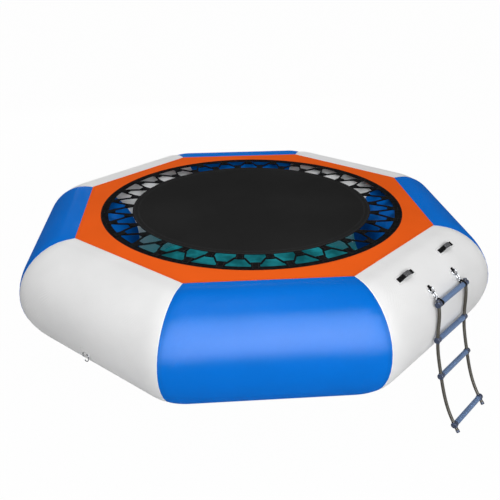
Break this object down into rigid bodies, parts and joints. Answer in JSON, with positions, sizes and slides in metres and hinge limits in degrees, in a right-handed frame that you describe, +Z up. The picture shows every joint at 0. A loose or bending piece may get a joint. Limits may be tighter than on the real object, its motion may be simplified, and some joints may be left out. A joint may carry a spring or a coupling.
{
  "type": "water trampoline",
  "caption": "Octagonal inflatable water trampoline with a laced round jump mat, hand loops and a hanging boarding ladder.",
  "frame": {"origin": "centre of the octagon, on the plane of the tube sections' undersides; the ladder reaches below it, into the water", "axes": "+Z up out of the jump mat; -Y out through the front blue section; the ladder hangs on the white section between +X and -Y"},
  "size_m": [3.05, 3.0638, 1.005],
  "materials": {
    "pvc_blue": "glossy coated PVC fabric",
    "pvc_white": "glossy coated PVC fabric",
    "pvc_orange": "satin coated PVC fabric",
    "webbing_black": "woven webbing",
    "mat_black": "matt woven mesh",
    "bungee_black": "braided cord",
    "rail_olive": "dark olive, satin coated tube",
    "rung_blue": "blue-grey satin tube",
    "cap_black": "moulded",
    "steel": "stainless, polished",
    "valve_grey": "moulded"
  },
  "bodies": {
    "root": {"tube_right_blue": "pvc_blue", "tube_back_right_white": "pvc_white", "tube_back_blue": "pvc_blue", "tube_back_left_white": "pvc_white", "tube_left_blue": "pvc_blue", "tube_front_left_white": "pvc_white", "tube_front_blue": "pvc_blue", "tube_front_right_white": "pvc_white", "apron_panel": "pvc_orange", "webbing_ring": "webbing_black", "lacing_cord": "bungee_black", "handle_left": "webbing_black", "handle_right": "webbing_black", "handle_patch_left": "pvc_white", "handle_patch_right": "pvc_white", "ladder_left_patch": "pvc_white", "ladder_left_keeper": "webbing_black", "ladder_right_patch": "pvc_white", "ladder_right_keeper": "webbing_black", "anchor_front_left_patch": "pvc_white", "anchor_front_left_keeper": "pvc_white", "anchor_back_left_patch": "pvc_white", "anchor_back_left_keeper": "pvc_white", "anchor_back_right_patch": "pvc_white", "anchor_back_right_keeper": "pvc_white", "valve_body": "valve_grey", "valve_spring": "steel"},
    "mat": {"jump_mat": "mat_black", "mat_hem": "webbing_black"},
    "ladder_top": {"ladder_left_ring": "steel", "ladder_right_ring": "steel", "snap_hook_left": "steel", "snap_hook_right": "steel", "hanger_strap_left": "webbing_black", "hanger_strap_right": "webbing_black"},
    "gate_left": {"snap_gate_left": "steel"},
    "gate_right": {"snap_gate_right": "steel"},
    "ladder": {"rail_left": "rail_olive", "rail_right": "rail_olive", "rail_plug_left": "cap_black", "rail_plug_right": "cap_black", "rail_foot_left": "cap_black", "rail_foot_right": "cap_black", "rung_1": "rung_blue", "rung_1_cap_left": "cap_black", "rung_1_cap_right": "cap_black", "rung_2": "rung_blue", "rung_2_cap_left": "cap_black", "rung_2_cap_right": "cap_black", "rung_3": "rung_blue", "rung_3_cap_left": "cap_black", "rung_3_cap_right": "cap_black", "rung_4": "rung_blue", "rung_4_cap_left": "cap_black", "rung_4_cap_right": "cap_black"},
    "anchor_front_left": {"anchor_front_left_ring": "steel"},
    "anchor_back_left": {"anchor_back_left_ring": "steel"},
    "anchor_back_right": {"anchor_back_right_ring": "steel"},
    "valve_plunger": {"valve_plunger": "valve_grey"},
    "valve_cap": {"valve_cap": "valve_grey"}
  },
  "joints": [
    {"name": "mat_bounce", "type": "slide", "parent": "root", "child": "mat", "axis": [0, 0, 1], "range_m": [-0.1, 0.03], "stiffness_N_per_m": 9000, "springref_m": 0.0035, "deforming": ["lacing_cord"]},
    {"name": "ladder_swing", "type": "hinge", "parent": "root", "child": "ladder_top", "pos_m": [1.041, -1.00989, 0.59524], "axis": [-0.7071, -0.7071, 0], "range_deg": [0, 60]},
    {"name": "gate_left_pin", "type": "hinge", "parent": "ladder_top", "child": "gate_left", "pos_m": [0.96386, -1.14488, 0.56787], "axis": [-0.7071, -0.7071, 0], "range_deg": [0, 20], "stiffness_Nm_per_rad": 0.02, "springref_deg": -11.46},
    {"name": "gate_right_pin", "type": "hinge", "parent": "ladder_top", "child": "gate_right", "pos_m": [1.176, -0.93275, 0.56787], "axis": [-0.7071, -0.7071, 0], "range_deg": [0, 20], "stiffness_Nm_per_rad": 0.02, "springref_deg": -11.46},
    {"name": "ladder_turn", "type": "hinge", "parent": "ladder_top", "child": "ladder", "pos_m": [1.09432, -1.06321, 0.52517], "axis": [-0.7071, -0.7071, 0], "range_deg": [0, 60]},
    {"name": "anchor_front_left_swing", "type": "hinge", "parent": "root", "child": "anchor_front_left", "pos_m": [-1.06475, -1.05626, 0.22253], "axis": [-0.7071, 0.7071, 0], "range_deg": [0, 140]},
    {"name": "anchor_back_left_swing", "type": "hinge", "parent": "root", "child": "anchor_back_left", "pos_m": [-1.05626, 1.06475, 0.22253], "axis": [0.7071, 0.7071, 0], "range_deg": [0, 140]},
    {"name": "anchor_back_right_swing", "type": "hinge", "parent": "root", "child": "anchor_back_right", "pos_m": [1.06475, 1.05626, 0.22253], "axis": [0.7071, -0.7071, 0], "range_deg": [0, 140]},
    {"name": "valve_press", "type": "slide", "parent": "root", "child": "valve_plunger", "axis": [0, -0.9932, -0.1162], "range_m": [0, 0.006], "stiffness_N_per_m": 400, "springref_m": -0.001, "deforming": ["valve_spring"]},
    {"name": "valve_cap_pull", "type": "slide", "parent": "root", "child": "valve_cap", "axis": [0, 0.9932, 0.1162], "range_m": [0, 0.03]}
  ]
}
